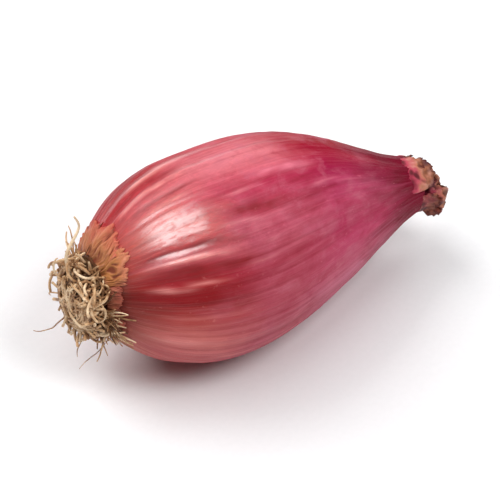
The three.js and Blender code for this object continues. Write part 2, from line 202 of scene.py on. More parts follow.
# bulb
bulbPlan = {
    "rows": 56,
    "columns": 100,
    "smoothing": 2,
    "ribs": [  # degrees around, height, share along where it has faded
        (-62, 0.12, 0.50), (-48, 0.14, 0.50), (-37, 0.10, 0.45), (-24, 0.15, 0.50), (-10.5, 0.22, 0.56),
        (6, 0.16, 0.66), (19, 0.06, 0.50), (31, 0.10, 0.56), (44.5, 0.25, 0.38), (52, 0.06, 0.42),
        (59.5, 0.25, 0.36), (68, 0.12, 0.40), (84, 0.16, 0.50), (100, 0.18, 0.46), (115, 0.12, 0.50),
        (131, 0.16, 0.50), (148, 0.12, 0.50), (212, 0.12, 0.50), (226, 0.18, 0.52), (241, 0.14, 0.50),
        (253, 0.22, 0.46), (267, 0.16, 0.52), (281, 0.20, 0.50),
    ],
    "ribWidth": 2.1,
    "waveHeight": 0.18,
    "waves": [(15, 0.6, 0.2), (8, 0.5, 2.1)],  # how many go round, share of the height, turn
    "veinHeight": 0.075,
    "neckFolds": 13,
    "neckFoldHeight": 0.18,
    "crinkleHeight": 0.11,
    "restsOn": (32, 0.85),  # below, the relief is pressed flat: degrees each way, and how much of it
    "dents": [  # share along, degrees around, share long, degrees wide, depth
        (0.17, 37.5, 0.08, 2.0, 0.19), (0.40, 25, 0.085, 4, 0.24), (0.60, 29, 0.055, 6, 0.28),
        (0.50, 36, 0.05, 4, 0.16), (0.70, 52, 0.03, 6, 0.14), (0.78, 62, 0.04, 8, 0.16),
        (0.66, 78, 0.05, 6, 0.18), (0.55, 100, 0.06, 7, 0.2), (0.44, -30, 0.06, 6, 0.2),
        (0.72, -48, 0.05, 8, 0.2), (0.62, -95, 0.06, 8, 0.24), (0.58, 205, 0.06, 8, 0.2),
    ],
    "creases": [  # the same, for short raised creases
        (0.53, 9, 0.075, 2.2, 0.2), (0.633, 43, 0.010, 8, 0.12), (0.70, 28, 0.03, 2, 0.12),
        (0.56, 66, 0.009, 7, 0.1), (0.80, 50, 0.012, 4, 0.14), (0.86, 46, 0.012, 3, 0.1),
        (0.75, -20, 0.009, 8, 0.1), (0.60, 120, 0.010, 9, 0.12),
    ],
    "paleStreaks": [  # degrees around, half width, share along from and to, strength; partly the skin's own paler ridges, partly a painted highlight along rib crests
        (-30, 2.6, 0.22, 0.40, 0.9), (-24.5, 2.9, 0.13, 0.33, 1.2), (-13, 3.6, 0.24, 0.47, 0.45),
        (-10, 1.6, 0.08, 0.28, 0.95), (5, 1.6, 0.1, 0.27, 0.8), (9, 2.2, 0.43, 0.63, 0.8),
        (16, 1.2, 0.32, 0.46, 0.5), (20, 0.9, 0.1, 0.3, 0.4), (25, 0.9, 0.08, 0.28, 0.4),
        (31, 1.5, 0.28, 0.48, 0.55), (24, 1.4, 0.57, 0.69, 0.6), (27.5, 1.1, 0.67, 0.78, 0.5),
        (35, 1.3, 0.36, 0.5, 0.3), (43.5, 1.3, 0.08, 0.3, 0.95), (43, 1.2, 0.38, 0.52, 0.35),
        (48.5, 1.2, 0.06, 0.11, 0.4), (52, 1.1, 0.33, 0.55, 0.3), (60, 1.9, 0.08, 0.19, 0.75),
        (57, 1.5, 0.16, 0.28, 0.6), (61, 1.0, 0.4, 0.6, 0.25), (50, 3.0, 0.77, 0.82, 0.4),
        (46, 2.0, 0.84, 0.88, 0.35), (79, 1.6, 0.1, 0.35, 0.25), (101, 3.4, 0.08, 0.24, 0.5),
    ],
    # dark streaks: partly the skin's own darker furrows, partly painted shade in the grooves and dents
    # beside the ribs
    "darkStreaks": [
        (-42, 2.2, 0.1, 0.42, 0.5), (-33, 2.0, 0.07, 0.4, 0.55), (-16.5, 1.8, 0.05, 0.3, 0.8),
        (-5, 1.2, 0.06, 0.22, 0.4), (-0.5, 1.7, 0.08, 0.32, 0.75), (11, 1.0, 0.06, 0.2, 0.35),
        (12, 1.2, 0.3, 0.46, 0.45), (17.5, 0.9, 0.46, 0.62, 0.5), (25.5, 2.7, 0.31, 0.5, 1.0),
        (29.5, 1.0, 0.52, 0.72, 0.5), (22, 0.7, 0.08, 0.3, 0.3), (28, 0.7, 0.08, 0.3, 0.3),
        (37.5, 1.8, 0.07, 0.34, 1.0), (34, 1.3, 0.58, 0.7, 0.45), (49.5, 2.3, 0.07, 0.38, 0.85),
        (48.5, 1.2, 0.3, 0.52, 0.4), (53.5, 2.3, 0.08, 0.30, 0.75), (57, 1.0, 0.3, 0.56, 0.35),
        (66, 4.0, 0.06, 0.34, 0.8), (76, 1.0, 0.06, 0.3, 0.3), (90, 1.2, 0.06, 0.4, 0.25),
        (111, 1.5, 0.06, 0.3, 0.3),
    ],
    "hiddenStreaks": {  # the far side has its own, strewn
        "from": 120, "to": 322, "apart": 7.5, "seed": 5, "drawn": ("start", "wide", "long", "strength"),
        "start": (0.05, 0.35), "wide": (0.8, 2.2), "long": (0.15, 0.4), "strength": (0.15, 0.5),
    },
    "streakSeeds": (41, 67),  # for the breaks in the pale and the dark streaks
    "skinEdge": {"around": 24, "from": 0.54, "to": 0.93, "height": 0.1},
}


# degrees from a line along the bulb, from -180 to 180
def turnedFrom(degrees, middle):
    return (degrees - middle + 180) % 360 - 180


# where the outer skin still lies over the one below, with a wobbly edge along the bulb
def skinEdgeMask(along, around):
    edge = bulbPlan["skinEdge"]
    share = along / onionShape["length"]
    wobble = 5 * wander(along, around * 0, 0.11, 1, 17) + 2 * wander(along, around * 0, 0.5, 1, 31)
    beyond = turnedFrom(np.degrees(around), edge["around"]) + wobble
    start, end = edge["from"], edge["to"]
    front = between(beyond, (-0.8, 0.8), (150, 175))
    return front, between(share, (start - 0.04, start + 0.05), (end - 0.05, end + 0.03))


# the place of a skin point in degrees, as the ribs and streaks wander
def wanderingDegrees(along, around):
    share = along / onionShape["length"]
    slow = 1.7 * np.sin(6 * share + 2 * around + 0.5)
    quick = 0.9 * np.sin(13 * share + 5 * around + 2)
    return np.degrees(around) + slow + quick + 0.9 * wander(along, around, 0.22, 7, 12)


# how strongly each point lies on a set of streaks, each with its own start and end
def streakMask(along, around, streaks, seed):
    share = along / onionShape["length"]
    degrees = wanderingDegrees(along, around)
    broken = 1 + 0.9 * wander(along, around, 0.35, 11, seed)
    mask = np.zeros_like(along)
    for middle, wide, start, end, strength in streaks:
        line = np.exp(-((turnedFrom(degrees, middle) / wide) ** 2))
        reach = between(share, (start - 0.02, start + 0.05), (end - 0.09, end + 0.03))
        mask += strength * line * reach
    return np.clip(mask * broken, 0, 1)


# streaks at random places, for where no drawn one is
def strewnStreaks(dice):
    plan = bulbPlan["hiddenStreaks"]
    degrees, streaks = plan["from"], []
    while degrees < plan["to"]:
        start, wide, long, strength = (dice.uniform(*plan[name]) for name in plan["drawn"])
        streaks.append((degrees, wide, start, start + long, strength))
        degrees += plan["apart"] * dice.uniform(0.5, 1.5)
    return streaks


# fine sharp-edged lines: the scales are along the bulb and around it
def creased(along, around, alongScale, aroundScale, seed, level=0.35):
    return level - 1.6 * np.abs(wander(along, around, alongScale, aroundScale, seed))


# height of the ribs, folds and creases
def skinRelief(along, around):
    share = along / onionShape["length"]
    degrees = wanderingDegrees(along, around)
    height = np.zeros_like(along)
    for middle, tall, fade in bulbPlan["ribs"]:
        away = np.sqrt(turnedFrom(degrees, middle) ** 2 + 0.8) - 0.9  # rounds the crest of the rib
        fading = between(share, (0.015, 0.11), (fade - 0.2, fade + 0.14))
        height += tall * np.exp(-away / bulbPlan["ribWidth"]) * fading
    uneven = around + 0.15 * np.sin(2 * around + 0.6) + 0.07 * np.sin(3 * around + 2)
    waves = sum(tall * np.cos(count * uneven + turn) for count, tall, turn in bulbPlan["waves"])
    height += bulbPlan["waveHeight"] * between(share, (0, 0.2), (0.35, 0.9), 0.6) * waves
    veins = creased(along, around, 0.05, 15, 3, 0.4)
    height += bulbPlan["veinHeight"] * veins * between(share, (0.02, 0.12), (0.4, 0.7), 0.5)
    folds = np.abs(np.sin(bulbPlan["neckFolds"] * 0.5 * uneven + 0.9 * wander(along, around, 0.06, 2, 9)))
    height += bulbPlan["neckFoldHeight"] * (0.5 - folds) * smoothstep(0.66, 1.0, share) ** 2
    crinkle = creased(along, around, 0.16, 9, 5) + 0.5 * creased(along, around, 0.34, 17, 6)
    crinkle *= bulbPlan["crinkleHeight"]
    height += crinkle * (0.25 + 0.75 * smoothstep(0.38, 0.6, share))
    for group, sign in (("dents", -1), ("creases", 1)):
        for where, middle, long, wide, deep in bulbPlan[group]:
            away = ((share - where) / long) ** 2 + (turnedFrom(degrees, middle) / wide) ** 2
            height += sign * deep * np.exp(-away * 1.4)
    wide, share = bulbPlan["restsOn"]
    under = turnedFrom(np.degrees(around), 180)
    return height * (1 - share * np.exp(-((under / wide) ** 2)))


def makeBulb():
    profile = np.linspace(0, onionShape["length"], 600)
    steps = np.hypot(np.diff(profile), np.diff(outlineRadius(profile)))
    travelled = np.concatenate([[0], np.cumsum(steps)])
    rows = np.interp(np.linspace(0, travelled[-1], bulbPlan["rows"]), travelled, profile)

    bulb = startRing("skinnedBulb", bulbPlan["columns"], float(outlineRadius(0)), "NOTHING")
    for before, after in zip(rows, rows[1:]):
        sideBefore, riseBefore = spine(before)
        side, rise = spine(after)
        shift = (after - before, side - sideBefore, rise - riseBefore)
        nextRing(shift, float(outlineRadius(after) / outlineRadius(before)), (after, side, rise))
    closeRing((onionShape["length"], *map(float, spine(onionShape["length"]))))
    bpy.ops.mesh.select_all(action="DESELECT")
    bpy.ops.object.mode_set(mode="OBJECT")
    for vertex in bulb.data.vertices:
        vertex.select = vertex.co.x < 0.0001
    bpy.ops.object.mode_set(mode="EDIT")
    closeRing((0, 0, 0))
    bpy.ops.object.mode_set(mode="OBJECT")

    subdivide(bulb, bulbPlan["smoothing"])

    x, y, z = readPoints(bulb).T
    side, rise = spine(x)
    around = np.arctan2(side - y, z - rise)
    radius = np.hypot(side - y, z - rise)
    edgeFront, edgeReach = skinEdgeMask(x, around)
    relief = skinRelief(x, around)
    outer = relief + bulbPlan["skinEdge"]["height"] * (edgeFront - 0.5) * edgeReach
    full = smoothstep(0.3, 1, radius / np.maximum(outlineRadius(x), 0.1))
    radius = radius * (1 + onionShape["oval"] * np.cos(2 * around)) + outer * full
    points = layDown(uprightPoints(x, around, radius))

    low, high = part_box("bulb")
    floorLevel = points[:, 2].min() + onionShape["restDepth"] * mm
    onionShift.x = (low.x + high.x - points[:, 0].min() - points[:, 0].max()) / 2
    onionShift.y = (low.y + high.y - points[:, 1].min() - points[:, 1].max()) / 2
    onionShift.z = -floorLevel
    points += np.array(onionShift)
    points[:, 2] = np.maximum(points[:, 2], 0.0)
    writePoints(bulb, points)
    storeValues(bulb, "skinPlace", np.stack([x / 10, np.cos(around), np.sin(around)], axis=-1))
    storeValues(bulb, "relief", relief)
    dice = random.Random(bulbPlan["hiddenStreaks"]["seed"])
    # the pale streaks, partly a painted highlight, and the dark streaks, partly painted shade, are stored
    # as crest and furrow
    pale, dark = (bulbPlan[name] + strewnStreaks(dice) for name in ("paleStreaks", "darkStreaks"))
    for name, streaks, seed in zip(("crest", "furrow"), (pale, dark), bulbPlan["streakSeeds"]):
        storeValues(bulb, name, streakMask(x, around, streaks, seed))
    storeValues(bulb, "outerSkin", edgeFront * edgeReach + 0.5 * (1 - edgeReach))
    return settle(bulb, "skin", "bulb")


def closeRing(centre):
    for share in (0.66, 0.5):
        nextRing((0, 0, 0), share, centre)
    bpy.ops.mesh.extrude_region_move(TRANSFORM_OT_translate={"value": (0, 0, 0)})
    bpy.ops.mesh.merge(type="CENTER")


bulb = makeBulb()
print("bulb:", len(bulb.data.polygons), "faces")


def skinRadius(along, around):
    relief = skinRelief(np.clip(along, 0, onionShape["length"]), around)
    return outlineRadius(along) * (1 + onionShape["oval"] * np.cos(2 * around)) + relief


# root plate
platePlan = {
    "radius": 6.1,
    "height": 1.9,
    "lumps": 0.12,
    "colours": [(0.35, (0.035, 0.015, 0.006)), (0.65, (0.16, 0.075, 0.03))],
}


def makePlate():
    deselectAll()
    bpy.ops.mesh.primitive_uv_sphere_add(segments=64, ring_count=40, radius=1, location=(0, 0, 0))
    plate = nameActive("corkyPlate")
    points = readPoints(plate)
    x, y, z = points.T
    lump = np.array([noise.noise(Vector(point) * 3.2) for point in points])
    scars = np.array([abs(noise.noise(Vector(point) * 7 + Vector((4, 1, 2)))) for point in points])
    swell = 1 + platePlan["lumps"] * (lump - scars)
    wide = platePlan["radius"] * (1 + 0.05 * lump)
    height = 0.1 + np.maximum(-x, 0) * platePlan["height"] * swell
    writePoints(plate, layDown(np.stack([-height, -y * wide, z * wide], axis=-1)))
    return settle(plate, "root_plate", "root_plate")


plate = makePlate()


# roots
rootPlan = {
    "seed": 12,
    "matStrands": 215,
    "matRadius": 8.3,
    "matDepth": 5.3,
    "matOverlap": 1.6,
    "matSag": (0.6, 0.9),  # how far the mat sags to the front, and down
    "matStarts": (-1.2, 3.6, 8.2),  # where its strands start: along, how much deeper, and how far out
    "matLength": (5, 12.5),
    "matCurls": [(0.15, 0.4), (0.4, 0.95)],  # some strands curl little, others a lot
    "thickness": (0.2, 0.32),
    "steps": 13,
    "pocket": ((1.2, 7.6, 2.4), 2.6),  # an open place in the mat: along, front, up and its size
    # inner strands below the mat's surface, whose dark tones are painted shade in the mat's gaps
    "innerStrands": 90,
    "innerRing": (5.4, 7.9),  # how far out the inner strands start, and below the mat's surface
    "innerLength": (3.5, 7.5),
    "innerCurl": (0.3, 1.0),
    "innerThickness": (0.18, 0.28),
    "innerShadeTone": (0, 0.42),
    "mainTone": (0.3, 0.95),
    "skinGap": 0.35,
    "plateGap": 0.2,
    "onSkin": [  # over the skin: long low ones, short ones on the collar, and dark ones low at the front, whose darkness is painted shade
        {"count": 44, "around": [(165, 300), (92, 165), (92, 165)], "start": 6.4, "spread": 1.3,
         "aside": (-1.3, 0.8), "length": (3.5, 9), "curl": (0.05, 0.3), "room": (-0.1, 0.5),
         "thickness": (0.14, 0.26), "tone": (0.3, 0.95)},
        {"count": 9, "around": [(-60, 62)], "start": 6.0, "spread": 1.6,
         "aside": (-0.5, 0.5), "length": (2, 4), "curl": (0.1, 0.4), "room": 0.25,
         "thickness": (0.2, 0.34), "tone": (0.35, 0.8)},
        {"count": 46, "around": [(78, 150)], "start": 6.3, "spread": 1.5,
         "aside": (-0.9, 0.9), "length": (2.5, 6), "curl": (0.1, 0.45), "room": (-0.1, 0.15),
         "thickness": (0.16, 0.28), "tone": (0.0, 0.34)},
    ],
    "strays": [  # thickness, tone, then points along, to the front and up from the plate; the thin ones that hang down to the table have dark tones, which are painted shade
        (0.36, 0.95, [(-3.6, -1, 3.4), (-4.9, -1.5, 7.4), (-4.6, -1.6, 9.6), (-3.4, -2.1, 11.2),
                      (-2.1, -2.7, 12.7), (-1.7, -3.1, 14.1), (-2.7, -3.6, 15.6)]),
        (0.22, 0.80, [(-5.4, -1, 3), (-7.3, -1, 5.7), (-7.6, -1, 7.6), (-7.2, -1, 9.1), (-6.8, -1, 9)]),
        (0.14, 0.35, [(-4.5, 1, -4), (-6.1, 0, -6.3), (-6.4, -0.8, -8.3), (-6.9, -2.2, -9.8),
                      (-7.7, -4.2, -11.9), (-8, -5.4, -12.4)]),
        (0.28, 0.90, [(-5.2, 2.6, -1.9), (-5, 5, -3.1), (-3.3, 6.6, -3.2), (-1.4, 8, -4), (0.6, 9.2, -3.5),
                      (2.5, 10.1, -3.1)]),
        (0.22, 0.75, [(-4.6, 4.6, -4.2), (-2.6, 6.4, -4.9), (-0.6, 7.9, -4.6), (1.4, 8.6, -4.9)]),
        (0.10, 0.30, [(0.2, 7.2, -7.6), (-0.5, 6.5, -10.1), (-1.6, 6, -11.4), (-3, 5.5, -13.1),
                      (-3.4, 5, -14.8)]),
        (0.12, 0.40, [(-2.6, 4.6, -6.4), (-3.7, 4.5, -9.2), (-3.8, 4, -11), (-3.5, 4, -12.5)]),
        (0.16, 0.60, [(-2, -5, -5), (-3.4, -8, -6.4), (-3, -10, -8.6), (-1.8, -11, -10.4)]),
    ],
    "colours": [
        (0.0, (0.09, 0.035, 0.012)), (0.3, (0.36, 0.18, 0.08)), (0.6, (0.68, 0.43, 0.23)),
        (1.0, (0.94, 0.72, 0.48)),
    ],
    "grain": (0.24, 0.11, 0.04),
}


# keeps a strand off the plate and the skin
def clearOfOnion(point, room):
    x, front, up = point
    out = max(math.hypot(front, up), 0.01)
    if x > -0.4:
        skin = float(outlineRadius(max(x, 0))) + rootPlan["skinGap"] + room
        if out < skin:
            if x < 1.0 and out < 7.0:
                x = -0.4
            else:
                front, up = front * skin / out, up * skin / out
    dome = 1 - (out / (platePlan["radius"] + 0.6)) ** 2
    if dome > 0:
        x = min(x, -platePlan["height"] * math.sqrt(dome) - rootPlan["plateGap"] - room)
    return Vector((x, front, up))


def insideMat(point):
    sagFront, sagDown = rootPlan["matSag"]
    front, up = point.y - sagFront, point.z + sagDown
    depth = rootPlan["matDepth"] if point.x < 0 else rootPlan["matOverlap"]
    reach = math.sqrt((front**2 + up**2) / rootPlan["matRadius"] ** 2 + (point.x / depth) ** 2)
    if reach > 1:
        point = Vector((point.x / reach, sagFront + front / reach, up / reach - sagDown))
    centre, size = Vector(rootPlan["pocket"][0]), rootPlan["pocket"][1]
    away = point - centre
    if away.length < size:
        point = centre + away.normalized() * size
    return point


def wanderingStrand(dice, start, heading, length, curl, inMat, room):
    steps = rootPlan["steps"]
    stride = length / steps
    turnAxis = Vector((dice.gauss(0, 1), dice.gauss(0, 1), dice.gauss(0, 1))).normalized()
    point, points = start.copy(), [start.copy()]
    for _ in range(steps):
        wobble = Vector((dice.gauss(0, 1), dice.gauss(0, 1), dice.gauss(0, 1)))
        turnAxis = (turnAxis + 0.3 * wobble).normalized()
        heading = (heading + curl * stride * turnAxis.cross(heading)).normalized()
        moved = point + heading * stride
        if inMat:
            moved = insideMat(moved)
        moved = clearOfOnion(moved, room)
        if (moved - point).length > 0.05:
            heading = (heading * 0.5 + (moved - point).normalized() * 0.5).normalized()
        point = moved
        points.append(point.copy())
    return points


# each strand is its points beside the plate, its thickness and its tone from dark to pale
def makeStrands(name, strands, *nodes, finer=1):
    curve = bpy.data.curves.new(name, "CURVE")
    curve.dimensions = "3D"
    curve.resolution_u = finer
    curve.bevel_depth = mm
    curve.bevel_resolution = 1
    curve.use_fill_caps = True
    near = kdtree.KDTree(sum(len(points) for points, _, _ in strands))
    tones = []
    for points, thickness, tone in strands:
        spline = curve.splines.new("NURBS")
        spline.points.add(len(points) - 1)
        spline.order_u = 3
        spline.use_endpoint_u = True
        for i, place in enumerate(layDown([(point.x, -point.y, point.z) for point in points])):
            spline.points[i].co = (*place, 1)
            spline.points[i].radius = thickness * (1 - 0.5 * (i / (len(points) - 1)) ** 2)
            near.insert(place, len(tones))
            tones.append(tone)
    near.balance()
    piece = bpy.data.objects.new(name, curve)
    bpy.context.scene.collection.objects.link(piece)
    pick(piece)
    bpy.ops.object.convert(target="MESH")
    piece = nameActive(name)
    settle(piece, "roots", *nodes)
    storeValues(piece, "tone", [tones[near.find(place)[1]] for place in readPoints(piece)])
    return piece


def matOfRoots():
    dice = random.Random(rootPlan["seed"])
    strands = []
    base, depth, wide = rootPlan["matStarts"]
    for number in range(rootPlan["matStrands"]):
        turn, out = dice.uniform(0, math.tau), wide * math.sqrt(dice.random())
        layer = number / rootPlan["matStrands"]
        start = Vector((base - depth * layer * dice.uniform(0.6, 1),
                        out * math.sin(turn) + 0.8, out * math.cos(turn) - 1.0))
        heading = Vector((dice.gauss(-0.1, 0.4), dice.gauss(0.1, 1), dice.gauss(-0.3, 1))).normalized()
        length = dice.uniform(*rootPlan["matLength"])
        curl = dice.choice([dice.uniform(*curls) for curls in rootPlan["matCurls"]])
        points = wanderingStrand(dice, start, heading, length, curl, True, 0.1)
        # strands that start nearer the plate, deep in the mat, get darker tones: painted shade
        thickness, tone = dice.uniform(*rootPlan["thickness"]), 0.25 + 0.5 * layer + dice.gauss(0, 0.2)
        strands.append((points, thickness, min(1, tone)))
    # dark inner strands fill the mat's gaps: painted shade
    dice = random.Random(rootPlan["seed"] + 2)
    for _ in range(rootPlan["innerStrands"]):
        turn, out = dice.uniform(0, math.tau), dice.uniform(*rootPlan["innerRing"])
        start = Vector((dice.uniform(-3.4, -0.8), out * math.sin(turn) + 0.6, out * math.cos(turn) - 0.9))
        heading = Vector((dice.gauss(-0.4, 0.5), dice.gauss(0, 1), dice.gauss(0, 1))).normalized()
        length, curl = dice.uniform(*rootPlan["innerLength"]), dice.uniform(*rootPlan["innerCurl"])
        points = wanderingStrand(dice, start, heading, length, curl, True, 0.1)
        thickness, tone = dice.uniform(*rootPlan["innerThickness"]), dice.uniform(*rootPlan["innerShadeTone"])
        strands.append((points, thickness, tone))
    return makeStrands("rootMat", strands)


def drawn(dice, value):
    return dice.uniform(*value) if isinstance(value, tuple) else value


# a strand that starts at the plate's edge and spreads over the skin
def radialStrand(dice, degrees, kind):
    turn = math.radians(degrees)
    out = Vector((0, math.sin(turn), math.cos(turn)))
    aside = Vector((0, math.cos(turn), -math.sin(turn)))
    begin = Vector((-0.9, 0, 0)) + out * kind["start"]
    heading = (out * kind["spread"] + Vector((1, 0, 0)) + aside * drawn(dice, kind["aside"])).normalized()
    length, curl, room = (drawn(dice, kind[name]) for name in ("length", "curl", "room"))
    return wanderingStrand(dice, begin, heading, length, curl, False, room)


def rootsOnSkin():
    dice = random.Random(rootPlan["seed"] + 1)
    strands = []
    for kind in rootPlan["onSkin"]:
        for number in range(kind["count"]):
            side = kind["around"][number % len(kind["around"])]
            points = radialStrand(dice, drawn(dice, side), kind)
            strands.append((points, drawn(dice, kind["thickness"]), drawn(dice, kind["tone"])))
    return makeStrands("rootsOnSkin", strands)


def strayRoots(names):
    strands = []
    for thickness, tone, points in rootPlan["strays"]:
        strands.append(([Vector(point) for point in points], thickness, tone))
    return makeStrands("strayRoots", strands, *names, finer=4)


def mainRoots(names):
    copies = []
    for name in names:
        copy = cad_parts[name].copy()
        copy.data = copy.data.copy()
        copy.parent = None
        for key in list(copy.keys()):
            del copy[key]
        bpy.context.scene.collection.objects.link(copy)
        faceOutwards(copy)
        dice = random.Random(int(name[-2:]))
        storeValues(copy, "tone", [dice.uniform(*rootPlan["mainTone"])] * len(copy.data.vertices))
        copies.append(copy)
    deselectAll()
    for copy in copies:
        copy.select_set(True)
    bpy.context.view_layer.objects.active = copies[0]
    bpy.ops.object.join()
    piece = nameActive("mainRoots")
    subdivide(piece, 2)
    return settle(piece, "roots", *names)


rootNames = sorted(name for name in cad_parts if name.startswith("root_") and name != "root_plate")
rootPieces = [strayRoots(rootNames[:4]), mainRoots(rootNames[4:]), matOfRoots(), rootsOnSkin()]
print("roots:", sum(len(piece.data.polygons) for piece in rootPieces), "faces")


# torn collar of outer skin
collarPlan = {
    "flaps": [  # degrees around, degrees wide, reach, its longest point from 0 to 1, how dusky (painted shade), how golden
        (-3, 44, 4.7, 0.45, 0.2, 0.15), (32, 36, 4.35, 0.1, 0.0, 0.9), (66, 32, 2.3, 0.3, 0.8, 0.2),
        (98, 39, 2.5, 0.6, 0.6, 0.2), (138, 41, 2.8, 0.4, 0.4, 0.3), (180, 42, 3.0, 0.7, 0.4, 0.5),
        (222, 41, 3.2, 0.3, 0.2, 0.3), (263, 41, 4.0, 0.5, 0.1, 0.2), (309, 50, 4.6, 0.6, 0.4, 0.1),
    ],
    "columns": 76,
    "rows": 34,
    "thickness": 0.09,
    "start": 0.2,  # from the plate
    "taper": 0.34,
    "tear": 0.24,
    "lift": 0.1,
    "crumple": 0.62,
    "crinkle": 0.24,
    "seed": 40,
    "colours": [  # from its base to its torn edge
        (0.0, (0.28, 0.12, 0.045)), (0.35, (0.55, 0.22, 0.09)), (0.7, (0.66, 0.18, 0.10)),
        (1.0, (0.58, 0.07, 0.055)),
    ],
    "golden": [(0.0, (0.34, 0.13, 0.035)), (0.5, (0.52, 0.20, 0.06)), (1.0, (0.62, 0.22, 0.12))],
    # the dusky colour is painted shade; the crest colour is a painted highlight on the crumples' crests
    # and the deep colour painted shade in their creases
    "dusky": (0.30, 0.07, 0.045),
    "crest": (0.80, 0.34, 0.21),
    "deep": (0.17, 0.03, 0.016),
}


# a thin sheet whose place, and any values for its points, come from across and upwards
def makeSheet(name, slot, node, plan, place):
    deselectAll()
    bpy.ops.mesh.primitive_grid_add(
        x_subdivisions=plan["columns"], y_subdivisions=plan["rows"], size=2, location=(0, 0, 0)
    )
    sheet = nameActive(name)
    flat = readPoints(sheet)
    across, upwards = (flat[:, 0] + 1) / 2, (flat[:, 1] + 1) / 2
    places, values = place(across, upwards)
    writePoints(sheet, places)
    for key, value in values.items():
        storeValues(sheet, key, value)
    wall = sheet.modifiers.new("wall", "SOLIDIFY")
    wall.thickness = plan["thickness"] * mm
    wall.offset = 0
    applied(sheet, wall)
    return settle(sheet, slot, node)


# a ragged line for the end of a sheet
def tornEdge(across, seed, coarse=5, fine=17):
    return np.array([
        noise.noise((u * coarse + seed, 1, 2)) + 0.6 * noise.noise((u * fine + seed, 5, 2))
        + 0.45 * noise.noise((u * fine * 2.4 + seed, 7, 1)) for u in across
    ])


def makeFlap(index, middle, wide, reach, lean, dusky, golden):
    seed = random.Random(collarPlan["seed"] + index).uniform(0, 50)

    def place(across, upwards):
        around = np.radians(middle + (across - 0.5) * wide)
        fromTip = np.abs(across - lean) / max(lean, 1 - lean)
        torn = collarPlan["tear"] * tornEdge(across, seed)
        edge = np.clip(1 - collarPlan["taper"] * fromTip**1.5 + torn, 0.4, 1.08)
        along = collarPlan["start"] + (reach * edge - collarPlan["start"]) * upwards
        bent = around + 0.16 * wander(along, around, 0.55, 3, seed + 8)
        crumple = 1 - 2.6 * np.abs(wander(along, bent, 0.26, 6.5, seed))
        crinkle = 1 - 2.6 * np.abs(wander(along, bent, 0.8, 15, seed + 3))
        folded = collarPlan["crumple"] * (0.45 + 0.3 * upwards) * crumple
        lift = collarPlan["lift"] + 0.12 * upwards**3 + folded
        lift = np.maximum(lift + collarPlan["crinkle"] * crinkle, 0.05)
        lift *= 1 - 0.75 * smoothstep(0.86, 1, upwards)
        radius = skinRadius(along, around) + lift
        # crest is the crumple height, which sets a painted highlight on crests and painted shade in
        # creases; dusk is painted shade
        values = {"outwards": upwards, "crest": np.clip(0.2 + 0.44 * crumple + 0.26 * crinkle, 0, 1),
                  "dusk": dusky + 0 * upwards, "gold": golden + 0 * upwards}
        return layDown(uprightPoints(along, around, radius)), values

    node = f"collar_flap_{index + 1:02d}"
    return makeSheet(f"tornSkin.{index + 1}", "papery_collar", node, collarPlan, place)


flaps = [makeFlap(index, *flap) for index, flap in enumerate(collarPlan["flaps"])]
print("collar:", len(flaps), "flaps")


# dry neck
neckPlan = {
    "columns": 40,
    "height": 4.3,
    "radius": 4.7,
    "profile": [(0.3, 1), (0.6, 1), (0.86, 0.93), (1, 0.7), (0.86, 0.42), (0.7, 0.12)],  # shares of both
    "leanAround": 128,  # the crumpled end hangs over to this side
    "lean": 1.5,
    "seed": 70,
    "leaves": [  # degrees around, degrees wide, start, reach, how far it stands off and curls, how dusky
        (25, 74, -3.9, 2.4, 0.5, 0.0, 0.0), (108, 66, -1.0, 4.2, 1.9, 0.9, 0.6),
        (190, 66, -1.0, 3.0, 0.6, 0.2, 0.4), (282, 70, -2.0, 2.4, 0.4, 0.0, 0.1),
    ],
    "leaf": {"columns": 40, "rows": 20, "thickness": 0.16},
    "taper": 0.3,
    "tear": 0.3,
    "crumple": 0.95,
    "colours": [  # from its base to its end
        (0.0, (0.36, 0.025, 0.06)), (0.3, (0.58, 0.09, 0.13)), (0.6, (0.54, 0.20, 0.12)),
        (0.8, (0.26, 0.09, 0.045)), (1.0, (0.09, 0.018, 0.022)),
    ],
    # the crest colour is a painted highlight on the crumples' crests, the deep colour painted shade in
    # their creases
    "crest": (0.80, 0.40, 0.33),
    "deep": (0.10, 0.014, 0.018),
}


# three heights for each point, one for each axis, with sharp crests
def ridges(points, size, seed):
    shifts = [Vector((seed + 7.3 * axis, 0, 0)) for axis in range(3)]
    return np.array([
        [1 - 2.6 * abs(noise.noise(Vector(point) / size + shift)) for shift in shifts] for point in points
    ])


def stubRadius(share, around):
    start = float(outlineRadius(onionShape["length"])) - 0.5
    plain = start + (neckPlan["radius"] - start) * np.sin(share * math.pi / 2)
    return plain + share * (0.38 * np.cos(7 * around + 1.3 + 2 * share) + 0.2 * np.cos(12 * around))


